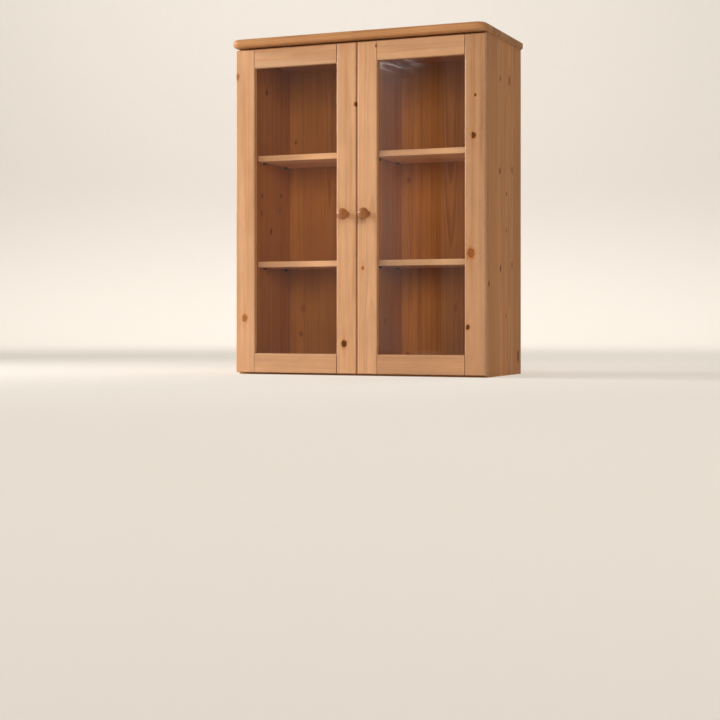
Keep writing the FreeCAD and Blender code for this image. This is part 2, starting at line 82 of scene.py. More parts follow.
# Lamps: place, target, width and height, watts, colour and cone in degrees
Lamp = namedtuple("Lamp", "place target size power colour cone")
AIM = (0.0, -0.1, 0.55)
LAMPS = {
    "edge": Lamp((-3.2, -0.65, 1.5), AIM, (0.8, 1.4), 24.0, (1.0, 0.98, 0.96), 90.0),
    "daylight": Lamp((-2.9, -2.4, 1.7), AIM, (1.4, 1.4), 14.0, (1.0, 0.99, 0.98), 90.0),
    "fill": Lamp((1.7, -4.4, 1.5), AIM, (3.0, 2.0), 24.0, (1.0, 0.91, 0.80), 90.0),
    "behind": Lamp((1.5, 3.0, 3.0), AIM, (1.5, 1.5), 10.0, (1.0, 0.93, 0.84), 90.0),
    "background": Lamp((-1.6, 2.6, 4.6), (-2.4, 6.0, 1.2), (4.0, 1.0), 75.0, (1.0, 0.97, 0.93), 120.0),
}
WORLD_COLOUR = (1.0, 0.95, 0.88, 1.0)
WORLD_RISE = (-0.1, 1.0)
WORLD_STRENGTH = (0.03, 0.32)

# Stains: early and late growth, red streaks, worn edges, contrast of the grain and weight of the varnish
Stain = namedtuple("Stain", "early late red worn contrast varnish")
DOOR_STAIN = Stain((0.610, 0.345, 0.190, 1.0), (0.470, 0.233, 0.107, 1.0), (0.505, 0.245, 0.109, 1.0),
                   (0.860, 0.640, 0.450, 1.0), 0.40, 0.20)
# A paler copy of the door stain: painted light on the left top rail, a top lit more brightly
DOOR_PAINTED_LIGHT_STAIN = Stain((0.685, 0.410, 0.240, 1.0), (0.530, 0.277, 0.135, 1.0), (0.570, 0.290, 0.138, 1.0),
                        (0.880, 0.670, 0.480, 1.0), 0.40, 0.20)
# A darker copy of the door stain: painted shade on the right outer stile and the right bottom rail, for
# light falling off to the right
DOOR_PAINTED_SHADE_STAIN = Stain((0.540, 0.296, 0.158, 1.0), (0.410, 0.200, 0.090, 1.0), (0.450, 0.210, 0.093, 1.0),
                        (0.800, 0.570, 0.380, 1.0), 0.45, 0.20)
# A brighter copy of the door stain: painted light on the shelves inside the cabinet
SHELF_PAINTED_LIGHT_STAIN = Stain((0.880, 0.515, 0.280, 1.0), (0.690, 0.355, 0.163, 1.0), (0.740, 0.375, 0.168, 1.0),
                    (0.900, 0.660, 0.450, 1.0), 0.40, 0.10)
OUTER_STAIN = Stain((0.550, 0.255, 0.095, 1.0), (0.370, 0.140, 0.044, 1.0), (0.450, 0.174, 0.054, 1.0),
                    (0.640, 0.370, 0.190, 1.0), 0.75, 0.05)
TOP_STAIN = Stain((0.540, 0.270, 0.118, 1.0), (0.370, 0.152, 0.056, 1.0), (0.440, 0.182, 0.066, 1.0),
                  (0.660, 0.400, 0.220, 1.0), 0.60, 0.08)
# A darker, redder stain: painted shade on the faces inside the cabinet
INSIDE_PAINTED_SHADE_STAIN = Stain((0.550, 0.212, 0.044, 1.0), (0.360, 0.116, 0.020, 1.0), (0.440, 0.143, 0.025, 1.0),
                    (0.640, 0.330, 0.120, 1.0), 0.42, 0.05)
KNOB_STAIN = Stain((0.460, 0.185, 0.060, 1.0), (0.320, 0.107, 0.031, 1.0), (0.380, 0.132, 0.039, 1.0),
                   (0.540, 0.245, 0.100, 1.0), 0.60, 0.70)
BEECH = Stain((0.610, 0.430, 0.270, 1.0), (0.520, 0.345, 0.200, 1.0), (0.560, 0.365, 0.215, 1.0),
              (0.680, 0.510, 0.350, 1.0), 0.50, 0.0)
WOOD_ROUGHNESS = 0.43
WOOD_SHINE = 0.05
WOOD_BUMP = 0.6
VARNISH_ROUGHNESS = 0.20
POLISH_ROUGHNESS = 0.30

# Noise: repeats per metre along, across and through a board, or along X, Y, Z, then detail and roughness
Grain = namedtuple("Grain", "scales detail roughness", defaults=(2.0, 0.5))
SWEEP_GRAIN = Grain((1.5, 4.0, 4.0))
RIPPLE_GRAIN = Grain((7.0, 26.0, 26.0))
BROAD_GRAIN = Grain((1.4, 9.0, 9.0))
MOTTLE_GRAIN = Grain((11.0, 20.0, 20.0), 3.0, 0.55)
STREAK_GRAIN = Grain((1.3, 85.0, 85.0), 3.0, 0.6)
FIBRE_GRAIN = Grain((20.0, 800.0, 800.0))
FLECK_GRAIN = Grain((55.0, 1500.0, 1500.0), 1.0)
RESIN_GRAIN = Grain((1.8, 42.0, 42.0), 3.0, 0.6)
WEAR_GRAIN = Grain((60.0, 60.0, 60.0), 4.0, 0.65)
KNOT_GRAIN = Grain((260.0, 260.0, 260.0))
KNOT_EDGE_GRAIN = Grain((110.0, 160.0, 60.0), 3.0, 0.6)
KNOT_TAIL_GRAIN = Grain((40.0, 420.0, 60.0))
BRUSHED_GRAIN = Grain((60.0, 1600.0, 1600.0))
TARNISH_GRAIN = Grain((70.0, 70.0, 70.0), 4.0, 0.6)
SCRATCH_GRAIN = Grain((900.0, 900.0, 25.0), 1.0)
DIPPED_GRAIN = Grain((120.0, 120.0, 120.0), 4.0, 0.6)
SPARK_GRAIN = Grain((1400.0, 1400.0, 1400.0), 2.0, 0.6)
CLOUD_GRAIN = Grain((55.0, 55.0, 55.0), 4.0, 0.6)
PAPER_GRAIN = Grain((30.0, 30.0, 30.0), 3.0)
VEIL_GRAIN = Grain((4.0, 1.0, 2.5), 3.0)
WISP_GRAIN = Grain((6.0, 1.0, 42.0), 3.0, 0.6)

# What each layer of a material adds to its tone, to its roughness and to its height in millimetres
Layer = namedtuple("Layer", "tone rough height", defaults=(0.0, 0.0, 0.0))
BROAD = Layer(tone=0.12)
MOTTLE = Layer(tone=0.14, rough=0.10)
FIBRE = Layer(tone=0.08, rough=0.06, height=0.05)
STREAK = Layer(tone=0.45, height=0.05)
STAVE = Layer(tone=0.09)
FLECK = Layer(tone=-0.14, height=-0.06)
GLUE = Layer(tone=-0.16, height=-0.05)
END = Layer(tone=-0.16, rough=0.14)
JOINT = Layer(tone=-0.38, height=-0.10)
LATE = Layer(rough=-0.05, height=0.05)
CORE = Layer(rough=-0.08, height=0.08)
RIM = Layer(height=-0.06)
WEAR = Layer(rough=-0.06)
BRUSHED = Layer(tone=0.10, rough=0.06, height=0.012)
SCRATCH = Layer(tone=0.10, height=-0.010)
DIPPED = Layer(rough=0.08, height=0.03)
SPARK = Layer(tone=0.12, rough=0.05)
CLOUD = Layer(rough=0.10)

# Growth rings and staves. A pair named EDGE, START or STOP is where a mask begins and ends.
BOARD_RINGS = 0.0030
FINE_RINGS = 0.0016
RING_LEAST = 0.30
LATE_START = (0.25, 0.88)
LATE_STOP = (1.0, 0.93)
STAVE_WIDTH = 0.085
STAVE_MARGIN = 0.001
PITH_ASIDE = 0.085
PITH_DEPTH = (0.020, 0.090)
TAPER = 0.007
SWEEP = 0.006
RIPPLE = 0.0008
SEED_SHIFT = (3.71, 1.37, 2.19)
NEXT_CHANCE = 17.0
GLUE_EDGE = (0.0009, 0.0003)
FLECK_EDGE = (0.66, 0.80)
RESIN_EDGE = (0.50, 0.76)
RESIN_ASIDE = 0.08
RESIN_SHARE = 0.75
WEAR_EDGE = (0.0042, 0.0008)
WEAR_RAGGED = 0.004
WEAR_SHARE = 0.12
END_EDGE = (0.6, 0.9)
# INNER_EDGE: where the painted shade on the inner face of a carcass board begins, by the face's normal
INNER_EDGE = (0.5, 0.8)
BEAD_WIDTH = 0.010
JOINT_WIDTH = 0.0012

# Knots: colours, then sizes as shares of the radius, then how strongly a pale and a dark knot show
KNOT_HALO = (0.470, 0.160, 0.036, 1.0)
KNOT_PALE = (0.260, 0.085, 0.026, 1.0)
KNOT_DARK = (0.045, 0.014, 0.006, 1.0)
KNOT_RIM = (0.060, 0.018, 0.007, 1.0)
KNOT_STRETCH = 1.35
KNOT_WOBBLE = 0.5
KNOT_SWELL = 1.4
KNOT_SWELL_REACH = 2.2
KNOT_CORE_EDGE = (1.10, 0.85)
KNOT_RIM_PLACE = 0.95
KNOT_RIM_WIDTH = 0.18
KNOT_HALO_EDGE = (2.1, 1.1)
KNOT_TAIL_WIDTH = 0.6
KNOT_TAIL_LENGTH = 5.0
KNOT_TAIL_LEAST = 0.2
KNOT_TAIL_SHARE = 0.8
KNOT_RING_TURN = 9.4
KNOT_RING_DIP = 0.72
KNOT_UNEVEN = 0.5
KNOT_HALO_SHARE = 0.80
KNOT_CORE_SHARE = (0.50, 1.0)
KNOT_RIM_SHARE = (0.15, 0.85)

# Metals, plastics and glass
Plating = namedtuple("Plating", "bright dull rough")
NICKEL = Plating((0.66, 0.63, 0.58, 1.0), (0.52, 0.49, 0.45, 1.0), 0.26)
ZINC = Plating((0.64, 0.60, 0.50, 1.0), (0.50, 0.45, 0.34, 1.0), 0.34)
TARNISH_EDGE = (0.35, 0.75)
TARNISH_ROUGHNESS = (-0.10, 0.14)
SCRATCH_EDGE = (0.70, 0.80)
METAL_BUMP = 0.5
CRYSTALS = 260.0
CRYSTAL_DULL = (0.47, 0.48, 0.49, 1.0)
CRYSTAL_BRIGHT = (0.68, 0.69, 0.70, 1.0)
CRYSTAL_ROUGHNESS = (0.34, 0.50)
Moulding = namedtuple("Moulding", "colour shade rough grain_height")
FERRITE = Moulding((0.060, 0.058, 0.056, 1.0), (0.085, 0.082, 0.080, 1.0), 0.55, 0.06)
PLASTIC = Moulding((0.100, 0.052, 0.027, 1.0), (0.128, 0.068, 0.036, 1.0), 0.48, 0.03)
RUBBER = Moulding((0.600, 0.590, 0.545, 1.0), (0.680, 0.670, 0.630, 1.0), 0.42, 0.01)
MOULDING_BUMP = 0.6
GLASS_TINT = (0.985, 0.993, 0.989, 1.0)
GLASS_IOR = 1.45
GLASS_SHINE = 0.05

# Axes, and boards by the axes along their grain, across them and through them
X, Y, Z = 0, 1, 2
UPRIGHT_FRONT = (Z, X, Y)
UPRIGHT_SIDE = (Z, Y, X)
LEVEL_FRONT = (X, Z, Y)
LEVEL_FLAT = (X, Y, Z)
TURNED = (Y, X, Z)

# The axis and the way that the inner face of each carcass board looks, which takes painted shade
INNER_FACES = {"side_panel_left": (X, 1.0), "side_panel_right": (X, -1.0), "back_panel": (Y, -1.0),
               "bottom_panel": (Z, 1.0), "inner_top_panel": (Z, -1.0)}

# Knots that show from the front and the right
Knot = namedtuple("Knot", "along across radius dark")
SEEN_KNOTS = {
    "door_outer_stile_right": [Knot(0.812, 0.369, 0.0030, 0.9), Knot(0.696, 0.364, 0.0060, 1.0),
                               Knot(0.358, 0.356, 0.0090, 0.4), Knot(0.145, 0.347, 0.0045, 1.0)],
    "door_outer_stile_left": [Knot(0.171, -0.370, 0.0065, 0.2), Knot(0.908, -0.398, 0.0065, 0.3)],
    "door_inner_stile_left": [Knot(0.805, -0.003, 0.0040, 1.0), Knot(0.095, -0.040, 0.0070, 1.0)],
    "door_inner_stile_right": [Knot(0.319, 0.020, 0.0035, 0.3), Knot(0.974, 0.063, 0.0028, 0.9)],
    "side_panel_right": [Knot(0.878, -0.044, 0.0050, 0.6), Knot(0.882, 0.046, 0.0080, 0.4),
                         Knot(0.604, -0.049, 0.0060, 0.9), Knot(0.617, 0.071, 0.0060, 0.5),
                         Knot(0.541, 0.016, 0.0035, 0.7), Knot(0.433, 0.014, 0.0040, 0.5),
                         Knot(0.317, -0.044, 0.0060, 0.9), Knot(0.331, 0.071, 0.0050, 0.5),
                         Knot(0.270, -0.155, 0.0055, 0.9), Knot(0.177, 0.010, 0.0035, 0.9),
                         Knot(0.055, 0.134, 0.0110, 0.6)],
    "side_panel_left": [Knot(0.883, -0.013, 0.0060, 1.0), Knot(0.554, -0.045, 0.0050, 0.8),
                        Knot(0.564, 0.090, 0.0045, 0.9), Knot(0.446, 0.020, 0.0060, 0.9)],
    "back_panel": [Knot(0.203, -0.332, 0.0080, 0.1), Knot(0.606, 0.035, 0.0060, 0.3),
                   Knot(0.202, 0.190, 0.0070, 0.1)],
    "centre_divider": [Knot(0.160, 0.020, 0.0070, 0.5)],
}

# How many knots a board has besides, at places drawn from its seed
STRAY_KNOTS = {"top_board": 5, "bottom_panel": 4, "inner_top_panel": 3, "shelf_lower_left": 2,
               "shelf_lower_right": 2, "shelf_upper_left": 2, "shelf_upper_right": 3, "back_panel": 6,
               "side_panel_left": 5}
STRAY_MARGIN = 0.03
STRAY_RADIUS = (0.0025, 0.0065)
STRAY_DARK = (0.0, 0.6)

# Seeds of the wood that isn't a board. A knob takes the number after its door's.
DOOR_SEEDS = {"left": 40, "right": 50}
DOWEL_SEED = 60

# Sockets of the Mix node for each kind of value: the two inputs and the output
MIX_SOCKETS = {"FLOAT": (2, 3, 0), "VECTOR": (4, 5, 1), "RGBA": (6, 7, 2)}


class Nodes:
    """Adds nodes to one tree. A value is a number, a tuple or the output of another node."""

    def __init__(self, tree):
        self.tree = tree

    def add(self, kind, values=None, **settings):
        node = self.tree.nodes.new("ShaderNode" + kind)
        for name, value in settings.items():
            setattr(node, name, value)
        for key, value in (values or {}).items():
            self.put(node.inputs[key], value)
        return node

    def put(self, socket, value):
        if isinstance(value, bpy.types.NodeSocket):
            self.tree.links.new(value, socket)
        else:
            socket.default_value = value

    def math(self, operation, first, second=0.0):
        return self.add("Math", {0: first, 1: second}, operation=operation).outputs[0]

    def plus(self, first, *others):
        for other in others:
            first = self.math("ADD", first, other)
        return first

    def times(self, first, *others):
        for other in others:
            first = self.math("MULTIPLY", first, other)
        return first

    def minus(self, first, second):
        return self.math("SUBTRACT", first, second)

    def length(self, first, second):
        """The length of the diagonal over two sides."""
        return self.math("SQRT", self.plus(self.times(first, first), self.times(second, second)))

    def step(self, value, start, end, low=0.0, high=1.0):
        """A smooth change from low at start to high at end."""
        values = {"Value": value, "From Min": start, "From Max": end, "To Min": low, "To Max": high}
        return self.add("MapRange", values, interpolation_type="SMOOTHSTEP").outputs["Result"]

    def spread(self, value, low, high):
        """A value from 0 to 1 carried over to low to high."""
        return self.add("MapRange", {"Value": value, "To Min": low, "To Max": high}).outputs["Result"]

    def sway(self, value, amount):
        """A value from 0 to 1 carried over to as much below nothing as above it."""
        return self.spread(value, -amount, amount)

    def around(self, value, amount):
        """A value from 0 to 1 carried over to as much below 1 as above it."""
        return self.spread(value, 1.0 - amount, 1.0 + amount)

    def bell(self, distance, width):
        """1 at no distance, falling to nothing past about twice the width."""
        share = self.math("DIVIDE", distance, width)
        return self.math("EXPONENT", self.times(share, share, -1.0))

    def mix(self, share, first, second, kind="RGBA"):
        one, two, result = MIX_SOCKETS[kind]
        return self.add("Mix", {0: share, one: first, two: second}, data_type=kind).outputs[result]

    def combine(self, operation, first, second):
        return self.add("VectorMath", {0: first, 1: second}, operation=operation).outputs[0]

    def scale(self, colour, factor):
        return self.add("VectorMath", {0: colour, "Scale": factor}, operation="SCALE").outputs[0]

    def parts(self, vector):
        return self.add("SeparateXYZ", {0: vector}).outputs

    def vector(self, x, y, z):
        return self.add("CombineXYZ", {0: x, 1: y, 2: z}).outputs[0]

    def noise(self, vector, grain):
        values = {"Vector": self.combine("MULTIPLY", vector, grain.scales), "Scale": 1.0,
                  "Detail": grain.detail, "Roughness": grain.roughness}
        return self.add("TexNoise", values).outputs[0]

    def white(self, x, y):
        """Three unlike numbers from 0 to 1 for each whole x and y."""
        node = self.add("TexWhiteNoise", {"Vector": self.vector(x, y, 0.0)}, noise_dimensions="2D")
        return self.parts(node.outputs["Color"])

    def bump(self, height_mm, strength):
        values = {"Height": height_mm, "Strength": strength, "Distance": MILLIMETRE}
        return self.add("Bump", values).outputs[0]


def new_group(name, inputs, outputs):
    """A node group with the named inputs and outputs, and its Nodes."""
    group = bpy.data.node_groups.new(name, "ShaderNodeTree")
    for label, kind in inputs:
        group.interface.new_socket(label, in_out="INPUT", socket_type="NodeSocket" + kind)
    for label, kind in outputs:
        group.interface.new_socket(label, in_out="OUTPUT", socket_type="NodeSocket" + kind)
    made = Nodes(group)
    entry = group.nodes.new("NodeGroupInput").outputs
    leave = group.nodes.new("NodeGroupOutput").inputs
    return made, entry, leave


def make_knot_group():
    """One knot: how far it swells the grain, and the masks of its core, its bark rim and its halo."""
    inputs = [("Position", "Vector"), ("Along", "Float"), ("Across", "Float"), ("Radius", "Float")]
    outputs = [("Swell", "Float"), ("Core", "Float"), ("Rim", "Float"), ("Halo", "Float")]
    n, given, made = new_group("knot", inputs, outputs)
    radius = given["Radius"]
    place = n.parts(given["Position"])
    along = n.math("DIVIDE", n.minus(place[0], given["Along"]), KNOT_STRETCH)
    across = n.minus(place[1], given["Across"])
    wobble = n.around(n.noise(given["Position"], KNOT_EDGE_GRAIN), KNOT_WOBBLE)
    share = n.math("DIVIDE", n.times(n.length(along, across), wobble), radius)
    n.put(made["Swell"], n.times(n.bell(share, KNOT_SWELL_REACH), radius, KNOT_SWELL))

    rings = n.step(n.math("SINE", n.times(share, KNOT_RING_TURN)), -1.0, 1.0, KNOT_RING_DIP, 1.0)
    n.put(made["Core"], n.times(n.step(share, *KNOT_CORE_EDGE), rings))
    n.put(made["Rim"], n.bell(n.minus(share, KNOT_RIM_PLACE), KNOT_RIM_WIDTH))

    # The halo has a ragged tail along the grain, on both sides of the knot.
    narrow = n.bell(across, n.times(radius, KNOT_TAIL_WIDTH))
    drawn_out = n.bell(along, n.times(radius, KNOT_TAIL_LENGTH))
    ragged = n.spread(n.noise(given["Position"], KNOT_TAIL_GRAIN), KNOT_TAIL_LEAST, 1.0)
    tail = n.times(narrow, drawn_out, ragged, KNOT_TAIL_SHARE)
    n.put(made["Halo"], n.math("MAXIMUM", n.step(share, *KNOT_HALO_EDGE), tail))
    return n.tree


def make_wear_group():
    """A mask along the edges of a board, from its lowest and highest corners."""
    inputs = [("Position", "Vector"), ("Low", "Vector"), ("High", "Vector")]
    n, given, made = new_group("edge_wear", inputs, [("Wear", "Float")])
    below = n.combine("SUBTRACT", given["Position"], given["Low"])
    above = n.combine("SUBTRACT", given["High"], given["Position"])
    depth = n.parts(n.combine("MINIMUM", below, above))
    least = n.math("MINIMUM", depth[0], depth[1])
    most = n.math("MAXIMUM", depth[0], depth[1])
    middle = n.math("MAXIMUM", least, n.math("MINIMUM", most, depth[2]))
    ragged = n.sway(n.noise(given["Position"], WEAR_GRAIN), WEAR_RAGGED)
    n.put(made["Wear"], n.step(n.plus(middle, ragged), *WEAR_EDGE))
    return n.tree


def make_wood_group():
    """Stained wood: growth rings round a pith for each stave, streaks, fibres, flecks and knots."""
    numbers = ("Seed", "Stave Start", "Stave Width", "Middle", "Swell", "Core", "Rim", "Halo", "Dark",
               "Wear", "End", "Joint", "Spacing", "Contrast")
    inputs = [("Position", "Vector")]
    inputs.extend((label, "Float") for label in numbers)
    inputs.extend((label, "Color") for label in ("Early", "Late", "Red", "Worn"))
    outputs = [("Colour", "Color"), ("Roughness", "Float"), ("Height", "Float")]
    n, given, made = new_group("stained_wood", inputs, outputs)
    place = n.parts(given["Position"])
    moved = [n.plus(place[axis], n.times(given["Seed"], shift)) for axis, shift in enumerate(SEED_SHIFT)]
    shifted = n.vector(*moved)

    # Each stave has its own pith, slope and tone, and a fine glue line beside it.
    count = n.math("DIVIDE", n.minus(place[1], given["Stave Start"]), given["Stave Width"])
    stave = n.math("FLOOR", count)
    chance = n.white(stave, given["Seed"])
    other = n.white(n.plus(stave, NEXT_CHANCE), given["Seed"])
    inside = n.times(n.minus(n.math("FRACT", count), 0.5), given["Stave Width"])
    from_edge = n.minus(n.times(given["Stave Width"], 0.5), n.math("ABSOLUTE", inside))
    glue_line = n.step(from_edge, *GLUE_EDGE)
    side = n.math("SIGN", n.minus(chance[2], 0.5))
    from_pith = n.minus(inside, n.sway(chance[0], PITH_ASIDE))
    heart = n.plus(given["Middle"], n.times(side, n.spread(chance[1], *PITH_DEPTH)))
    radius = n.length(from_pith, n.minus(place[2], heart))
    taper = n.times(place[0], n.sway(other[0], TAPER))
    sweep = n.sway(n.noise(shifted, SWEEP_GRAIN), SWEEP)
    ripple = n.sway(n.noise(shifted, RIPPLE_GRAIN), RIPPLE)

    # Each ring darkens towards its end, some rings more than others.
    rings = n.math("DIVIDE", n.plus(radius, taper, sweep, ripple, given["Swell"]), given["Spacing"])
    phase = n.math("FRACT", rings)
    luck = n.white(n.math("FLOOR", rings), n.plus(stave, given["Seed"]))[0]
    strength = n.spread(luck, RING_LEAST, 1.0)
    late = n.times(n.step(phase, *LATE_START), n.step(phase, *LATE_STOP), strength)

    broad = n.noise(shifted, BROAD_GRAIN)
    mottle = n.noise(shifted, MOTTLE_GRAIN)
    streak = n.noise(shifted, STREAK_GRAIN)
    fibre = n.noise(shifted, FIBRE_GRAIN)
    fleck = n.step(n.noise(shifted, FLECK_GRAIN), *FLECK_EDGE)
    resin = n.step(n.plus(n.noise(shifted, RESIN_GRAIN), n.sway(other[1], RESIN_ASIDE)), *RESIN_EDGE)

    colour = n.mix(n.times(late, given["Contrast"]), given["Early"], given["Late"])
    colour = n.mix(n.times(resin, RESIN_SHARE), colour, given["Red"])
    tone = n.plus(1.0, n.sway(broad, BROAD.tone), n.sway(mottle, MOTTLE.tone), n.sway(fibre, FIBRE.tone),
                  n.times(n.sway(streak, STREAK.tone), given["Contrast"]), n.sway(other[2], STAVE.tone),
                  n.times(fleck, FLECK.tone), n.times(glue_line, GLUE.tone),
                  n.times(given["End"], END.tone), n.times(given["Joint"], JOINT.tone))
    colour = n.scale(colour, tone)
    colour = n.mix(n.times(given["Halo"], KNOT_HALO_SHARE), colour, KNOT_HALO)
    knot_tone = n.around(n.noise(shifted, KNOT_GRAIN), KNOT_UNEVEN)
    knot_colour = n.scale(n.mix(given["Dark"], KNOT_PALE, KNOT_DARK), knot_tone)
    colour = n.mix(n.times(given["Core"], n.spread(given["Dark"], *KNOT_CORE_SHARE)), colour, knot_colour)
    colour = n.mix(n.times(given["Rim"], n.spread(given["Dark"], *KNOT_RIM_SHARE)), colour, KNOT_RIM)
    colour = n.mix(n.times(given["Wear"], WEAR_SHARE), colour, given["Worn"])
    n.put(made["Colour"], colour)

    rough = n.plus(WOOD_ROUGHNESS, n.sway(fibre, FIBRE.rough), n.sway(mottle, MOTTLE.rough),
                   n.times(late, LATE.rough), n.times(given["Core"], CORE.rough),
                   n.times(given["Wear"], WEAR.rough), n.times(given["End"], END.rough))
    n.put(made["Roughness"], rough)
    height = n.plus(n.times(late, LATE.height), n.times(fibre, FIBRE.height), n.times(fleck, FLECK.height),
                    n.times(streak, STREAK.height), n.times(given["Core"], CORE.height),
                    n.times(given["Rim"], RIM.height), n.times(glue_line, GLUE.height),
                    n.times(given["Joint"], JOINT.height))
    n.put(made["Height"], height)
    return n.tree


knot_group = make_knot_group()
wear_group = make_wear_group()
wood_group = make_wood_group()


def new_material(name):
    """A material with a Principled shader, its Nodes and that shader's inputs."""
    material = bpy.data.materials.new(name)
    material.use_nodes = True
    shader = material.node_tree.nodes["Principled BSDF"]
    return material, Nodes(material.node_tree), shader.inputs


def use_group(n, group, values):
    node = n.add("Group")
    node.node_tree = group
    for key, value in values.items():
        n.put(node.inputs[key], value)
    return node.outputs


def board_position(n, order):
    """The place in a board, in the order of its axes, and a mask of its end grain."""
    given = n.add("TexCoord").outputs
    place = n.parts(given["Object"])
    normal = n.parts(given["Normal"])
    position = n.vector(*[place[axis] for axis in order])
    end = n.step(n.math("ABSOLUTE", normal[order[0]]), *END_EDGE)
    return position, end


def frame_position(n, low, high, width):
    """As board_position, for a frame of two uprights and the level pieces between them."""
    upright, upright_end = board_position(n, UPRIGHT_FRONT)
    level, level_end = board_position(n, LEVEL_FRONT)
    x = n.parts(upright)[UPRIGHT_FRONT.index(X)]
    from_side = n.math("MINIMUM", n.minus(x, low[X]), n.minus(high[X], x))
    between = n.math("GREATER_THAN", from_side, width)
    position = n.mix(between, upright, level, "VECTOR")
    end = n.mix(between, upright_end, level_end, "FLOAT")
    return position, end


def stain_colours(stain):
    return {"Early": stain.early, "Late": stain.late, "Red": stain.red, "Worn": stain.worn}


def face_colours(n, name, stain):
    """The colours of a board. A carcass board takes a darker, redder stain on the face inside the cabinet,
    as painted shade.
    """
    outer = stain_colours(stain)
    if name not in INNER_FACES:
        return outer
    axis, way = INNER_FACES[name]
    normal = n.parts(n.add("TexCoord").outputs["Normal"])
    share = n.step(n.times(normal[axis], way), *INNER_EDGE)
    inner = stain_colours(INSIDE_PAINTED_SHADE_STAIN)
    return {key: n.mix(share, outer[key], inner[key]) for key in outer}


def rail_joints(name):
    """Where the face of a rail meets its two stiles: the inner two of the stiles' four edges."""
    if "rail" not in name:
        return []
    side = name.split("_")[-1]
    boxes = [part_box("door_outer_stile_" + side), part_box("door_inner_stile_" + side)]
    return sorted(corner[X] for box in boxes for corner in box)[1:3]


def knot_marks(n, position, knots):
    """The masks of all the knots of a board together, and how dark the nearest one is."""
    marks = dict.fromkeys(("Swell", "Core", "Rim", "Halo", "Dark"), 0.0)
    for knot in knots:
        values = {"Position": position, "Along": knot.along, "Across": knot.across, "Radius": knot.radius}
        found = use_group(n, knot_group, values)
        marks["Swell"] = n.plus(found["Swell"], marks["Swell"])
        for key in ("Core", "Rim", "Halo"):
            marks[key] = n.math("MAXIMUM", found[key], marks[key])
        marks["Dark"] = n.math("MAXIMUM", n.times(found["Halo"], knot.dark), marks["Dark"])
    return marks


def wood(name, order, stain, seed, knots=(), staved=False, framed=False, spacing=BOARD_RINGS,
         gloss=VARNISH_ROUGHNESS):
    """The material of one piece of wood, with order giving the axes along, across and through it."""
    material, n, shader = new_material("wood_" + name)
    low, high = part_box(name)
    position, end = frame_position(n, low, high, BEAD_WIDTH) if framed else board_position(n, order)
    joint = 0.0
    for along in rail_joints(name):
        joint = n.math("MAXIMUM", n.bell(n.minus(n.parts(position)[0], along), JOINT_WIDTH), joint)
    place = n.add("TexCoord").outputs["Object"]
    wear = use_group(n, wear_group, {"Position": place, "Low": low, "High": high})["Wear"]
    start, stop = low[order[1]] - STAVE_MARGIN, high[order[1]] + STAVE_MARGIN
    staves = max(1, round((stop - start) / STAVE_WIDTH)) if staved else 1
    middle = (low[order[2]] + high[order[2]]) / 2
    values = {"Position": position, "Seed": float(seed), "Stave Start": start,
              "Stave Width": (stop - start) / staves, "Middle": middle, "Wear": wear, "End": end,
              "Joint": joint, "Spacing": spacing, "Contrast": stain.contrast}
    values.update(knot_marks(n, position, knots))
    values.update(face_colours(n, name, stain))
    found = use_group(n, wood_group, values)
    n.put(shader["Base Color"], found["Colour"])
    n.put(shader["Roughness"], found["Roughness"])
    n.put(shader["Normal"], n.bump(found["Height"], WOOD_BUMP))
    shader["Specular IOR Level"].default_value = WOOD_SHINE
    shader["Coat Weight"].default_value = stain.varnish
    shader["Coat Roughness"].default_value = gloss
    return material


def dress(name, material):
    for slot in nodes[name].material_slots:
        slot.material = material


def board_plan():
    """For each board, the way of its grain, its stain and whether it is glued up from staves."""
    plan = {}
    plan["top_board"] = (LEVEL_FLAT, TOP_STAIN, True)
    plan["inner_top_panel"] = (LEVEL_FLAT, OUTER_STAIN, True)
    plan["bottom_panel"] = (LEVEL_FLAT, OUTER_STAIN, True)
    plan["back_panel"] = (UPRIGHT_FRONT, OUTER_STAIN, True)
    # Painted shade: the divider stands wholly inside the cabinet and takes the darker inside stain
    plan["centre_divider"] = (UPRIGHT_SIDE, INSIDE_PAINTED_SHADE_STAIN, True)
    for side in ("left", "right"):
        plan["side_panel_" + side] = (UPRIGHT_SIDE, OUTER_STAIN, True)
        # Painted light: the shelves take a brighter copy of the door stain
        plan["shelf_lower_" + side] = (LEVEL_FLAT, SHELF_PAINTED_LIGHT_STAIN, True)
        plan["shelf_upper_" + side] = (LEVEL_FLAT, SHELF_PAINTED_LIGHT_STAIN, True)
        plan["door_inner_stile_" + side] = (UPRIGHT_FRONT, DOOR_STAIN, False)
    plan["door_outer_stile_left"] = (UPRIGHT_FRONT, DOOR_STAIN, False)
    # Painted shade: the right outer stile and the right bottom rail take a darker copy of the door stain
    plan["door_outer_stile_right"] = (UPRIGHT_FRONT, DOOR_PAINTED_SHADE_STAIN, False)
    # Painted light: the left top rail takes a paler copy of the door stain
    plan["door_top_rail_left"] = (LEVEL_FRONT, DOOR_PAINTED_LIGHT_STAIN, False)
    plan["door_top_rail_right"] = (LEVEL_FRONT, DOOR_STAIN, False)
    plan["door_bottom_rail_left"] = (LEVEL_FRONT, DOOR_STAIN, False)
    plan["door_bottom_rail_right"] = (LEVEL_FRONT, DOOR_PAINTED_SHADE_STAIN, False)
    return plan


def stray_knots(name, order, seed):
    chance = random.Random(seed)
    low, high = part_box(name)
    knots = []
    for _ in range(STRAY_KNOTS.get(name, 0)):
        along = chance.uniform(low[order[0]] + STRAY_MARGIN, high[order[0]] - STRAY_MARGIN)
        across = chance.uniform(low[order[1]] + STRAY_MARGIN, high[order[1]] - STRAY_MARGIN)
        knots.append(Knot(along, across, chance.uniform(*STRAY_RADIUS), chance.uniform(*STRAY_DARK)))
    return knots


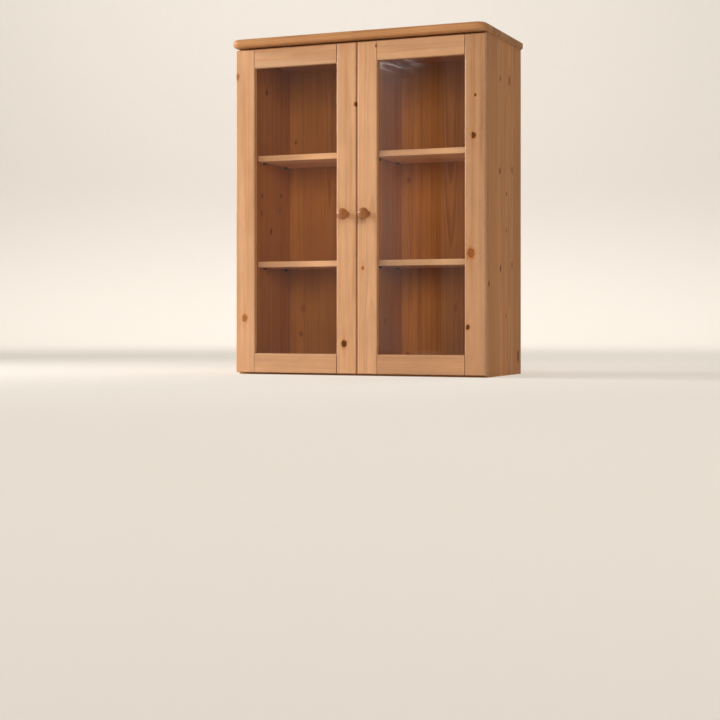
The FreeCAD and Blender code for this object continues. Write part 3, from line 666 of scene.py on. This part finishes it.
def dress_wood():
    for seed, (name, (order, stain, staved)) in enumerate(sorted(board_plan().items()), start=1):
        knots = SEEN_KNOTS.get(name, []) + stray_knots(name, order, seed)
        dress(name, wood(name, order, stain, seed, knots, staved))
    for side, seed in DOOR_SEEDS.items():
        beads = "door_glazing_beads_" + side
        dress(beads, wood(beads, UPRIGHT_FRONT, DOOR_STAIN, seed, framed=True))
        knob = "door_knob_" + side
        turned = wood(knob, TURNED, KNOB_STAIN, seed + 1, spacing=FINE_RINGS, gloss=POLISH_ROUGHNESS)
        dress(knob, turned)
    dress("carcass_dowels", wood("carcass_dowels", LEVEL_FLAT, BEECH, DOWEL_SEED, spacing=FINE_RINGS))


def plated_steel(name, plating):
    """Brushed and plated sheet: fine lines along X, cloudy tarnish and a few scratches."""
    material, n, shader = new_material(name)
    place = n.add("TexCoord").outputs["Object"]
    brushed = n.noise(place, BRUSHED_GRAIN)
    cloudy = n.noise(place, TARNISH_GRAIN)
    scratch = n.step(n.noise(place, SCRATCH_GRAIN), *SCRATCH_EDGE)
    colour = n.mix(n.step(cloudy, *TARNISH_EDGE), plating.bright, plating.dull)
    tone = n.plus(n.around(brushed, BRUSHED.tone), n.times(scratch, SCRATCH.tone))
    rough = n.plus(plating.rough, n.sway(brushed, BRUSHED.rough), n.spread(cloudy, *TARNISH_ROUGHNESS))
    height = n.plus(n.times(brushed, BRUSHED.height), n.times(scratch, SCRATCH.height))
    n.put(shader["Base Color"], n.scale(colour, tone))
    n.put(shader["Roughness"], rough)
    n.put(shader["Normal"], n.bump(height, METAL_BUMP))
    shader["Metallic"].default_value = 1.0
    return material


def galvanised_steel():
    """Hot-dipped sheet with its crystals showing."""
    material, n, shader = new_material("galvanised_steel")
    place = n.add("TexCoord").outputs["Object"]
    values = {"Vector": place, "Scale": CRYSTALS, "Randomness": 1.0}
    tone = n.parts(n.add("TexVoronoi", values).outputs["Color"])[0]
    cloudy = n.noise(place, DIPPED_GRAIN)
    n.put(shader["Base Color"], n.mix(tone, CRYSTAL_DULL, CRYSTAL_BRIGHT))
    n.put(shader["Roughness"], n.plus(n.spread(tone, *CRYSTAL_ROUGHNESS), n.sway(cloudy, DIPPED.rough)))
    n.put(shader["Normal"], n.bump(n.times(cloudy, DIPPED.height), METAL_BUMP))
    shader["Metallic"].default_value = 1.0
    return material


def moulded(name, moulding):
    """Moulded plastic, rubber or ferrite with a fine spark texture."""
    material, n, shader = new_material(name)
    place = n.add("TexCoord").outputs["Object"]
    fine = n.noise(place, SPARK_GRAIN)
    cloudy = n.noise(place, CLOUD_GRAIN)
    colour = n.mix(cloudy, moulding.colour, moulding.shade)
    rough = n.plus(moulding.rough, n.sway(fine, SPARK.rough), n.sway(cloudy, CLOUD.rough))
    n.put(shader["Base Color"], n.scale(colour, n.around(fine, SPARK.tone)))
    n.put(shader["Roughness"], rough)
    n.put(shader["Normal"], n.bump(n.times(fine, moulding.grain_height), MOULDING_BUMP))
    return material


def glass():
    """Float glass that lets light through to the shelves behind it."""
    material, n, shader = new_material("float_glass")
    shader["Base Color"].default_value = GLASS_TINT
    shader["Roughness"].default_value = 0.0
    shader["IOR"].default_value = GLASS_IOR
    shader["Transmission Weight"].default_value = 1.0
    shader["Specular IOR Level"].default_value = GLASS_SHINE
    path = n.add("LightPath").outputs
    through = n.math("MAXIMUM", path["Is Shadow Ray"], path["Is Diffuse Ray"])
    clear = n.add("BsdfTransparent").outputs[0]
    surface = n.tree.nodes["Principled BSDF"].outputs[0]
    mixed = n.add("MixShader", {0: through, 1: surface, 2: clear}).outputs[0]
    n.put(n.tree.nodes["Material Output"].inputs["Surface"], mixed)
    return material


def dress_fittings():
    nickel = plated_steel("nickel_plated_steel", NICKEL)
    zinc = plated_steel("zinc_plated_steel", ZINC)
    plastic = moulded("brown_plastic", PLASTIC)
    rubber = moulded("soft_buffer", RUBBER)
    finishes = {"steel": nickel, "plastic": plastic, "rubber": rubber, "glass": glass()}
    for part in frame["record"]["subparts"]:
        name, slot = part["node"], part["material_slot"]
        if slot in finishes:
            dress(name, zinc if "screw" in name else finishes[slot])
    dress("hanging_plates", galvanised_steel())
    dress("catch_magnets", moulded("ferrite", FERRITE))


def add_mesh(name, points, faces):
    mesh = bpy.data.meshes.new(name)
    mesh.from_pydata(points, [], faces)
    holder = bpy.data.objects.new(name, mesh)
    bpy.context.scene.collection.objects.link(holder)
    return holder


def backdrop():
    """A round floor that sweeps up into a wall on all sides."""
    profile = []
    for step in range(SWEEP_STEPS + 1):
        turn = math.radians(90.0) * step / SWEEP_STEPS
        profile.append((FLOOR_RADIUS + SWEEP_RADIUS * math.sin(turn), SWEEP_RADIUS * (1 - math.cos(turn))))
    profile.append((FLOOR_RADIUS + SWEEP_RADIUS, WALL_HEIGHT))
    count = len(profile)
    points = []
    faces = [[side * count for side in range(WALL_SIDES)]]
    for side in range(WALL_SIDES):
        turn = math.radians(360.0) * side / WALL_SIDES
        across, along = math.cos(turn), math.sin(turn)
        points.extend((radius * across, radius * along, height) for radius, height in profile)
        here, beside = side * count, (side + 1) % WALL_SIDES * count
        faces.extend((here + i, here + i + 1, beside + i + 1, beside + i) for i in range(count - 1))
    sheet = add_mesh("backdrop", points, faces)
    for face in sheet.data.polygons:
        face.use_smooth = True
    sheet.data.materials.append(pale_paper())


def pale_paper():
    """Paper whose glow lights nothing: the camera sees it, and glass and metal see a share of it."""
    material, n, shader = new_material("pale_paper")
    given = n.add("TexCoord").outputs["Object"]
    path = n.add("LightPath").outputs
    through = n.math("MAXIMUM", path["Is Glossy Ray"], path["Is Transmission Ray"])
    seen = n.math("MAXIMUM", path["Is Camera Ray"], n.times(through, THROUGH_SHARE))
    paper = n.mix(n.noise(given, PAPER_GRAIN), PAPER, PAPER_FLECK)
    n.put(shader["Base Color"], n.scale(paper, n.spread(seen, 1.0, SEEN_SHADE)))
    place = n.parts(given)
    reach = n.length(place[0], place[1])
    floor_glow = n.step(reach, NEAR_FLOOR_RADIUS, FLOOR_RADIUS, FLOOR_GLOW, FAR_FLOOR_GLOW)
    glow = n.step(place[2], 0.0, SWEEP_RADIUS, floor_glow, WALL_GLOW)
    shader["Emission Color"].default_value = PAPER_GLOW
    n.put(shader["Emission Strength"], n.times(seen, glow))
    shader["Roughness"].default_value = PAPER_ROUGHNESS
    shader["Specular IOR Level"].default_value = 0.0
    material.cycles.emission_sampling = "NONE"
    return material


def reflector():
    """A soft glowing card left of the camera, which shows only as a reflection in glossy surfaces."""
    corners = [(CARD_LEFT, CARD_FRONT, CARD_BOTTOM), (CARD_RIGHT, CARD_FRONT, CARD_BOTTOM),
               (CARD_RIGHT, CARD_FRONT, CARD_TOP), (CARD_LEFT, CARD_FRONT, CARD_TOP)]
    card = add_mesh("reflector", corners, [(3, 2, 1, 0)])
    card.data.materials.append(soft_glow())
    card.visible_camera = False
    card.visible_diffuse = False
    card.visible_transmission = False
    card.visible_shadow = False


def soft_glow():
    """An uneven veil of light that fades at the edges of the card, with bright wisps near its top."""
    material, n, shader = new_material("soft_glow")
    given = n.add("TexCoord").outputs["Object"]
    place = n.parts(given)
    rising = n.math("DIVIDE", n.minus(place[2], CARD_BOTTOM), CARD_TOP - CARD_BOTTOM)
    across = n.math("DIVIDE", n.minus(place[0], CARD_LEFT), CARD_RIGHT - CARD_LEFT)
    uneven = n.around(n.noise(given, VEIL_GRAIN), VEIL_UNEVEN)
    fade = n.times(n.step(across, *CARD_LEFT_FADE), n.step(across, *CARD_RIGHT_FADE),
                   n.step(rising, *CARD_TOP_FADE))
    veil = n.times(uneven, n.spread(rising, VEIL_LOW_SHARE, 1.0), VEIL_GLOW)
    sloped = n.plus(place[2], n.times(place[0], WISP_SLOPE))
    streaks = n.step(n.noise(n.vector(place[0], 0.0, sloped), WISP_GRAIN), *WISP_EDGE)
    wisps = n.times(streaks, n.bell(n.minus(place[2], WISP_HEIGHT), WISP_WIDTH), WISP_GLOW)
    shader["Base Color"].default_value = (0.0, 0.0, 0.0, 1.0)
    shader["Specular IOR Level"].default_value = 0.0
    shader["Emission Color"].default_value = CARD_COLOUR
    n.put(shader["Emission Strength"], n.times(fade, n.plus(veil, wisps)))
    return material


def area_light(name, lamp):
    data = bpy.data.lights.new(name, "AREA")
    data.shape = "RECTANGLE"
    data.size, data.size_y = lamp.size
    data.energy = lamp.power
    data.color = lamp.colour
    data.spread = math.radians(lamp.cone)
    holder = bpy.data.objects.new(name, data)
    holder.location = lamp.place
    holder.rotation_euler = (Vector(lamp.target) - Vector(lamp.place)).to_track_quat("-Z", "Y").to_euler()
    holder.visible_camera = False
    bpy.context.scene.collection.objects.link(holder)
    return holder


def lights():
    """Daylight from the left, and a warm fill from the front that leaves no shape in the panes."""
    holders = {name: area_light(name, lamp) for name, lamp in LAMPS.items()}
    holders["fill"].visible_glossy = False
    holders["fill"].visible_transmission = False
    world = bpy.data.worlds.new("studio")
    world.use_nodes = True
    bpy.context.scene.world = world
    n = Nodes(world.node_tree)
    height = n.parts(n.add("TexCoord").outputs["Generated"])[2]
    background = world.node_tree.nodes["Background"].inputs
    background["Color"].default_value = WORLD_COLOUR
    n.put(background["Strength"], n.step(height, *WORLD_RISE, *WORLD_STRENGTH))


def camera():
    data = bpy.data.cameras.new("camera")
    data.lens = CAMERA_LENS
    data.sensor_width = CAMERA_SENSOR
    data.shift_y = CAMERA_RISE
    holder = bpy.data.objects.new("camera", data)
    holder.location = CAMERA_PLACE
    holder.rotation_euler = (math.radians(90.0), 0.0, math.radians(CAMERA_TURN))
    bpy.context.scene.collection.objects.link(holder)
    bpy.context.scene.camera = holder


dress_wood()
dress_fittings()
backdrop()
reflector()
lights()
camera()
bpy.context.scene.view_settings.view_transform = "Standard"
